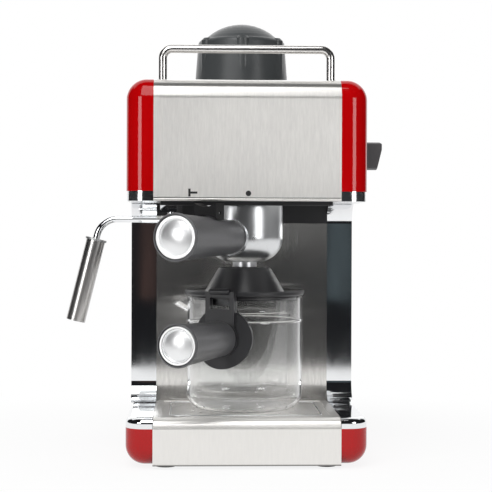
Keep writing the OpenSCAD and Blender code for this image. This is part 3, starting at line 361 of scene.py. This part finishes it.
def turned(profile, steps=96, ring=False):
    """A mesh turned about Z from (radius, height) points. A ring's profile closes on itself."""
    bm = bmesh.new()
    rows = []
    for r, z in profile:
        angles = [math.tau * i / steps for i in range(1 if r < 1e-6 else steps)]
        rows.append([bm.verts.new((r * MM * math.cos(a), r * MM * math.sin(a), z * MM))
                     for a in angles])
    for low, high in zip(rows, rows[1:] + rows[:1] if ring else rows[1:]):
        strip_of_faces(bm, low, high)
    return bm


def prism(outline, z0, z1):
    """A closed prism over an outline of (x, y) points."""
    bm = bmesh.new()
    low = [bm.verts.new((x * MM, y * MM, z0 * MM)) for x, y in outline]
    high = [bm.verts.new((x * MM, y * MM, z1 * MM)) for x, y in outline]
    bm.faces.new(low[::-1])
    bm.faces.new(high)
    strip_of_faces(bm, low, high)
    return bm


def cut_off(bm, at, normal):
    """Cut away what lies beyond a plane, and close the cut."""
    found = bmesh.ops.bisect_plane(bm, geom=bm.verts[:] + bm.edges[:] + bm.faces[:], dist=1e-7,
                                   plane_co=Vector(at) * MM, plane_no=normal, clear_outer=True)
    edges = [g for g in found["geom_cut"] if isinstance(g, bmesh.types.BMEdge)]
    bmesh.ops.contextual_create(bm, geom=edges)


def bead_along(path, z, r, steps=10):
    """A closed round bead along a level outline, with its middle at a height."""
    bm = bmesh.new()
    rows = []
    for i, (x, y) in enumerate(path):
        (ax, ay), (bx, by) = path[i - 1], path[(i + 1) % len(path)]
        side = Vector((by - ay, ax - bx)).normalized()
        row = []
        for k in range(steps):
            out, up = r * math.cos(math.tau * k / steps), r * math.sin(math.tau * k / steps)
            row.append(bm.verts.new(((x + side.x * out) * MM, (y + side.y * out) * MM,
                                     (z + up) * MM)))
        rows.append(row)
    for low, high in zip(rows, rows[1:] + rows[:1]):
        strip_of_faces(bm, low, high)
    return bm


# ---------- Placing what is made here ----------

def mesh_object(name, bm, material):
    """Turn a bmesh into an object in the scene, with one material."""
    me = bpy.data.meshes.new(name)
    bm.to_mesh(me)
    bm.free()
    me.materials.append(material)
    obj = bpy.data.objects.new(name, me)
    scene.collection.objects.link(obj)
    return obj


def piece(name, bm, material, body, at=None, smooth=35, bevel=0.0):
    """Make a mesh a piece of the object, in its own frame `at`, riding a body. Edges up to
    `smooth` degrees shade smooth."""
    bmesh.ops.recalc_face_normals(bm, faces=bm.faces)
    obj = mesh_object(name, bm, material)
    for polygon in obj.data.polygons:
        polygon.use_smooth = True
    obj.data.set_sharp_from_angle(angle=math.radians(smooth))
    if at is not None:
        obj.matrix_world = at
    if bevel:
        edge = obj.modifiers.new("edge", "BEVEL")
        edge.width = bevel * MM
        edge.segments = 3
        edge.limit_method = "ANGLE"
        edge.angle_limit = math.radians(32)
        edge.harden_normals = True
    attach(obj, body)
    return obj


def frame_at(origin, along, side=(0, 0, 1)):
    """A frame with Z along one direction and X as near as can be to another."""
    z = Vector(along).normalized()
    y = z.cross(Vector(side)).normalized()
    x = y.cross(z)
    return Matrix.Translation(origin) @ Matrix((x, y, z)).transposed().to_4x4()


def middle(node):
    """The middle of a node's box."""
    low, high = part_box(node)
    return (low + high) / 2


# ---------- Handles' silver ends ----------

def handle_end(name, node, handle, axis_node, ring_width, beaded):
    """A handle's end: a rounded ring, sometimes with a bead inside it, round a low dome."""
    axis, centre = middle(axis_node), middle(node)
    along = Vector((centre.x - axis.x, centre.y - axis.y, 0)).normalized()
    reach = max((v.co - centre).dot(along) for v in nodes[handle].data.vertices)
    sunk, clear = 0.45, 0.65
    at = frame_at(centre + along * (reach - sunk * MM), along)
    body, slot = body_of[node], "satin_cap"

    low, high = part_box(node)
    outer = (high.z - low.z) / 2 / MM - clear
    inner = outer - ring_width
    foot, seat, face = -2.1, -1.35, 0.2
    ring = soften([(inner, foot), (inner, face), (outer, face), (outer, foot)], 0.45)
    piece(name + "_ring", turned(ring, 128, ring=True), ring_metal, body, at, smooth=50)

    edge = inner + 0.3
    profile = [(0, foot), (edge, foot), (edge, seat)]
    if beaded:
        bead_out, bead_in, lean, bead_top = inner - 0.3, inner - 1.3, 0.05, -0.35
        profile += soften([(bead_out + lean, seat), (bead_out - lean, bead_top),
                           (bead_in + lean, bead_top), (bead_in - lean, seat)], 0.35)
    dome_r = inner - (1.6 if beaded else 0.35)
    dome_foot, rise, dome_steps = seat + 0.15, dome_r / 5, 16
    ball_r = (dome_r ** 2 + rise ** 2) / (2 * rise)
    for i in range(dome_steps + 1):
        r = dome_r * (1 - i / dome_steps)
        profile.append((r, math.sqrt(ball_r ** 2 - r ** 2) - ball_r + rise + dome_foot))
    disc = piece(name, turned(profile, 128), spun_metal, body, at, smooth=50)
    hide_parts(node)


handle_end("portafilter_end", "portafilter_cap", "portafilter_handle", "portafilter_bowl",
           2.2, False)
handle_end("carafe_end", "carafe_cap", "carafe_handle", "carafe_lid", 1.4, True)


# ---------- Selector knob ----------

def selector_knob():
    """A round skirt with a grip across it, whose face slopes away from a printed pointer."""
    low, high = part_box("selector_knob")
    hub = Vector((low.x, (low.y + high.y) / 2, (low.z + high.z) / 2))
    at = frame_at(hub, (1, 0, 0), (0, 0, -1))
    body, slot, black = body_of["selector_knob"], "handle_plastic", finish["handle_plastic"]

    skirt_r = (high.z - low.z) / 2 / MM
    side_h, skirt_h, draft, shoulder = 5.2, 7.0, 0.3, 3.4
    profile = soften([(0, 0), (skirt_r - draft, 0), (skirt_r, side_h),
                      (skirt_r - shoulder, skirt_h), (0, skirt_h)], 1.1)
    skirt = piece("knob_skirt", turned(profile), black, body, at, smooth=40)

    grip_r, half_thick, top = 10.7, 5.5, (high.x - low.x) / MM - 0.2
    tip, steps = math.asin(half_thick / grip_r), 14
    arc = [(-1 + 2 * i / steps) * tip for i in range(steps + 1)]
    outline = [(grip_r * math.cos(a), grip_r * math.sin(a)) for a in arc]
    outline += [(-x, -y) for x, y in outline]
    grip = prism(outline, skirt_h - 0.5, top)
    slope_start, fall, chamfer = -4.7, 3.8, 1.6
    tilt = math.atan(fall / (grip_r - slope_start))
    cut_off(grip, (slope_start, 0, top), (math.sin(tilt), 0, math.cos(tilt)))
    cut_off(grip, (chamfer - grip_r, 0, top), (-1, 0, 1))
    piece("knob_grip", grip, black, body, at, bevel=0.9)

    pointer = prism(rectangle(-9.0, -0.55, -5.2, 0.55), top - 0.6, top + 0.08)
    piece("knob_pointer", pointer, print_white, body, at)
    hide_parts("selector_knob")


selector_knob()


# ---------- Marks printed on the head ----------

def printed_marks():
    """Generic marks on the head's front: the handle's locked position, and the brewing axis."""
    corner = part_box("head_wrap")[0]
    front = Matrix.Translation((0, corner.y, 0)) @ Matrix.Rotation(math.radians(90), 4, "X")
    foot = corner.z / MM
    dot_x, dot_z, dot_r, dot_steps = 0.5, foot + 2.9, 1.95, 40
    angles = [math.tau * i / dot_steps for i in range(dot_steps)]
    dot = [(dot_x + dot_r * math.cos(a), dot_z + dot_r * math.sin(a)) for a in angles]
    sunk = 0.2
    for name, outline, proud in (
            ("mark_locked_stem", rectangle(-41.9, foot + 0.5, -40.3, foot + 6.1), 0.07),
            ("mark_locked_arm", rectangle(-41.0, foot + 2.55, -35.5, foot + 4.05), 0.06),
            ("mark_axis_dot", dot, 0.07)):
        piece(name, prism(outline, -sunk, proud), print_black, body_of["head_wrap"],
              front)


printed_marks()


# ---------- Drip deck's bead ----------

def deck_bead():
    """The pressed bead round the drip deck's recess."""
    low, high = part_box("drip_deck")
    half_width, corner, front_gap, back_gap = 54.7, 7, 21, 9
    path = rounded_rectangle(half_width, low.y / MM + front_gap, high.y / MM - back_gap, corner)
    bead_r, sunk = 0.45, 0.5
    piece("deck_bead", bead_along(path, high.z / MM - sunk, bead_r), polished,
          body_of["drip_deck"], smooth=60)


deck_bead()


# ---------- Black strip under the head ----

def black_strip_under_head():
    """A thin black strip that hangs a little below the steel under the head, making a dark band
    under its lip.
    """
    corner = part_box("under_plate")[0]
    half_width, set_back, thick, hang, sunk = 62, 16, 1.6, 2.9, 0.1
    front, seam = corner.y / MM + set_back, corner.z / MM
    strip = prism(rectangle(-half_width, front, half_width, front + thick),
                  seam - hang, seam + sunk)
    piece("black_strip_under_head", strip, finish["black_plastic"], body_of["head_floor"],
          bevel=0.4)


black_strip_under_head()


# ---------- Screws ----------

def screw(name, node, at, outward):
    """A pan head with a cross recess, seated on a face of a node."""
    radius, rise, roundness, sunk = 3.0, 1.3, 3.2, 0.4
    slot_half, slot_reach, slot_depth = 0.11 * radius, 0.62 * radius, 0.75 * rise
    rings, steps = 14, 64
    bm = bmesh.new()
    rows = []
    for k in range(rings + 1):
        share = k / rings
        row = []
        for i in range(steps if k else 1):
            a = math.tau * i / steps
            x, y = radius * share * math.cos(a), radius * share * math.sin(a)
            z = rise * math.sqrt(1 - share ** roundness)
            short, far = sorted((abs(x), abs(y)))
            if short < slot_half and far < slot_reach:
                z -= slot_depth
            row.append(bm.verts.new((x * MM, y * MM, z * MM)))
        rows.append(row)
    foot = [bm.verts.new((v.co.x, v.co.y, -sunk * MM)) for v in rows[-1]]
    rows.append(foot)
    for low, high in zip(rows, rows[1:]):
        strip_of_faces(bm, low, high)
    bm.faces.new(foot)
    side = (1, 0, 0) if outward[2] else (0, 0, 1)
    piece(name, bm, screw_steel, body_of[node], frame_at(at, outward, side), smooth=40)


def rear_screws():
    low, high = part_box("rear_cover")
    inset = 7.5 * MM
    spots = [(x, z) for z in (low.z + inset, (low.z + high.z) / 2, high.z - inset)
             for x in (low.x + inset, high.x - inset)]
    for k, (x, z) in enumerate(spots, 1):
        screw(f"rear_screw_{k}", "rear_cover", (x, high.y, z), (0, 1, 0))


def floor_screws():
    low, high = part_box("bottom_plate")
    inset, row_gap = 12 * MM, 75 * MM
    spots = [(x, y) for y in (-row_gap, 0, row_gap) for x in (low.x + inset, high.x - inset)]
    for k, (x, y) in enumerate(spots, 1):
        screw(f"floor_screw_{k}", "bottom_plate", (x, y, low.z), (0, 0, -1))


rear_screws()
floor_screws()


# ---------- Camera ----------

PHOTO_SIDE = 492
FOCAL_LENGTH = 1450.917  # in the photograph's pixels
SENSOR = 36.0
cam_data = bpy.data.cameras.new("camera")
camera = bpy.data.objects.new("camera", cam_data)
scene.collection.objects.link(camera)
cam_data.sensor_width = SENSOR
cam_data.lens = FOCAL_LENGTH / PHOTO_SIDE * SENSOR
cam_data.clip_start, cam_data.clip_end = 0.05, 30
camera_at = (-0.040641, -1.12936, 0.166345)
yaw, pitch, roll = (math.radians(a) for a in (2.213, -0.503, 0.183))
forward = Vector((math.sin(yaw) * math.cos(pitch), math.cos(yaw) * math.cos(pitch),
                  math.sin(pitch)))
level = forward.cross(Vector((0, 0, 1))).normalized()
upright = level.cross(forward)
right = level * math.cos(roll) + upright * math.sin(roll)
up = upright * math.cos(roll) - level * math.sin(roll)
camera.matrix_world = Matrix.Translation(camera_at) @ Matrix(
    (right, up, -forward)).transposed().to_4x4()
scene.camera = camera

# ---------- Floor, light and background ----------

scene.view_settings.view_transform = "Standard"


def studio_tree(name):
    """A new material with no nodes, which never counts as a lamp, and its node tree."""
    m = bpy.data.materials.new(name)
    m.cycles.emission_sampling = "NONE"
    m.use_nodes = True
    m.node_tree.nodes.clear()
    return m, m.node_tree


def seen_directly(tree):
    """A share that is 1 where the camera, gloss or glass looks, and 0 for light on a surface."""
    path = tree.nodes.new("ShaderNodeLightPath")
    seen = path.outputs["Is Camera Ray"]
    for ray in ("Is Glossy Ray", "Is Transmission Ray"):
        either = tree.nodes.new("ShaderNodeMath")
        either.operation = "MAXIMUM"
        tree.links.new(seen, either.inputs[0])
        tree.links.new(path.outputs[ray], either.inputs[1])
        seen = either.outputs[0]
    return seen


def pale_floor(name, colour, white_share, fade):
    """A plain matt surface, blended with plain white where the camera, gloss or glass looks at it:
    less of it near the object, where its shadow falls, and all white further off. The share of
    white goes from its first value to its second over the reach that `fade` gives in metres."""
    m, tree = studio_tree(name)
    new, link = tree.nodes.new, tree.links.new
    diffuse, glow, mix, share, place, reach, spread, output = (new("ShaderNode" + k) for k in (
        "BsdfDiffuse", "Emission", "MixShader", "Math", "NewGeometry", "VectorMath", "MapRange",
        "OutputMaterial"))
    diffuse.inputs["Color"].default_value = (*colour, 1)
    reach.operation = "LENGTH"
    link(place.outputs["Position"], reach.inputs[0])
    spread.interpolation_type = "SMOOTHSTEP"
    for key, value in zip(("From Min", "From Max", "To Min", "To Max"), (*fade, *white_share)):
        spread.inputs[key].default_value = value
    link(reach.outputs["Value"], spread.inputs["Value"])
    share.operation = "MULTIPLY"
    link(seen_directly(tree), share.inputs[0])
    link(spread.outputs[0], share.inputs[1])
    link(share.outputs[0], mix.inputs["Fac"])
    link(diffuse.outputs[0], mix.inputs[1])
    link(glow.outputs[0], mix.inputs[2])
    link(mix.outputs[0], output.inputs["Surface"])
    return m


def glow_material(name, colour):
    """A plain colour that light doesn't change."""
    m, tree = studio_tree(name)
    glow, output = (tree.nodes.new("ShaderNode" + k) for k in ("Emission", "OutputMaterial"))
    glow.inputs["Color"].default_value = (*colour, 1)
    tree.links.new(glow.outputs[0], output.inputs["Surface"])
    return m


def card(name, at, size, facing, material):
    """A flat studio card, facing a point."""
    bm = bmesh.new()
    bmesh.ops.create_grid(bm, x_segments=1, y_segments=1, size=0.5)
    obj = mesh_object(name, bm, material)
    obj.scale = (*size, 1)
    obj.location = at
    obj.rotation_euler = (Vector(facing) - Vector(at)).to_track_quat("Z", "Y").to_euler()
    return obj


def screen(name, reach, from_deg, to_deg, top, material, steps=24):
    """An upright curved studio screen round the object; 0 degrees is straight in front."""
    bm = bmesh.new()
    rows = []
    for i in range(steps + 1):
        a = math.radians(from_deg + (to_deg - from_deg) * i / steps)
        x, y = reach * math.sin(a), -reach * math.cos(a)
        rows.append((bm.verts.new((x, y, 0)), bm.verts.new((x, y, top))))
    for (a0, a1), (b0, b1) in zip(rows, rows[1:]):
        bm.faces.new((a0, b0, b1, a1))
    obj = mesh_object(name, bm, material)
    return obj


def gloss_only(obj, through_glass=False):
    """Hide a studio card from all but reflections and, where asked for, rays through glass."""
    obj.visible_camera = obj.visible_diffuse = obj.visible_shadow = False
    obj.visible_transmission = through_glass


card("floor", (0, 0, 0), (14, 14), (0, 0, 1),
     pale_floor("floor_matt", (0.86, 0.86, 0.86), (0.88, 1.0), (0.16, 0.42)))

# The dark side of the studio, which gloss and metal reflect: screens behind the camera and to
# both sides, a ceiling, and a dark floor that starts 0.63 m in front of the machine
SCREEN_REACH, SCREEN_TOP, FRONT_HALF, SIDE_END = 2.5, 2.2, 45, 128
dark = glow_material("studio_dark", (0.012, 0.0125, 0.014))
for name, from_deg, to_deg, through_glass in (
        ("screen_front", -FRONT_HALF, FRONT_HALF, True),
        ("screen_left", -SIDE_END, -FRONT_HALF, False),
        ("screen_right", FRONT_HALF, SIDE_END, False)):
    gloss_only(screen(name, SCREEN_REACH, from_deg, to_deg, SCREEN_TOP, dark), through_glass)
gloss_only(card("ceiling_dark", (0, -0.95, SCREEN_TOP), (5.2, 3.1), (0, -0.95, 0), dark))
gloss_only(card("floor_dark", (0, -1.64, 0.003), (5.0, 2.02), (0, -1.64, 1), dark),
           through_glass=True)

# Two upright cards just inside the front screen, which the column's chrome sides mirror
for name, colour, x, z, size in (
        ("brown", (0.066, 0.041, 0.036), -0.141, 0.12, (0.036, 0.26)),
        ("slate", (0.070, 0.088, 0.096), 0.331, 0.14, (0.07, 0.28))):
    tint = glow_material("studio_" + name, colour)
    gloss_only(card("reflector_" + name, (x, -2.44, z), size, (x, 0, z), tint))


def white_world(light):
    """Plain white where it is seen directly, and softer where it lights the scene."""
    world = bpy.data.worlds.new("world")
    scene.world = world
    world.use_nodes = True
    tree = world.node_tree
    tree.nodes.clear()
    soft, plain, pick, output = (tree.nodes.new("ShaderNode" + k) for k in (
        "Background", "Background", "MixShader", "OutputWorld"))
    soft.inputs["Strength"].default_value = light
    plain.inputs["Color"].default_value = soft.inputs["Color"].default_value = (1, 1, 1, 1)
    tree.links.new(seen_directly(tree), pick.inputs["Fac"])
    tree.links.new(soft.outputs[0], pick.inputs[1])
    tree.links.new(plain.outputs[0], pick.inputs[2])
    tree.links.new(pick.outputs[0], output.inputs["Surface"])


white_world(0.40)


def softbox(name, at, size, power, towards):
    """A rectangular lamp facing a point. Size in metres, power in watts."""
    data = bpy.data.lights.new(name, "AREA")
    data.shape = "RECTANGLE"
    data.size, data.size_y = size
    data.energy = power
    obj = bpy.data.objects.new(name, data)
    scene.collection.objects.link(obj)
    obj.location = at
    obj.rotation_euler = (Vector(towards) - Vector(at)).to_track_quat("-Z", "Y").to_euler()
    return obj


for name, x in (("light_left", -0.94), ("light_right", 0.94)):
    softbox(name, (x, -1.17, 0.38), (0.46, 0.46), 3.8, (0, 0, 0.38))
softbox("light_key", (-0.298, -0.917, 1.236), (0.80, 1.45), 13.0, (0, -0.10, 0.27))
overhead = softbox("light_top", (0, -0.45, 1.45), (2.2, 2.3), 6, (0, -0.45, 0))
overhead.visible_glossy = False
softbox("light_back", (0, 1.5, 0.9), (1.8, 0.8), 3, (0, 0, 0.16))
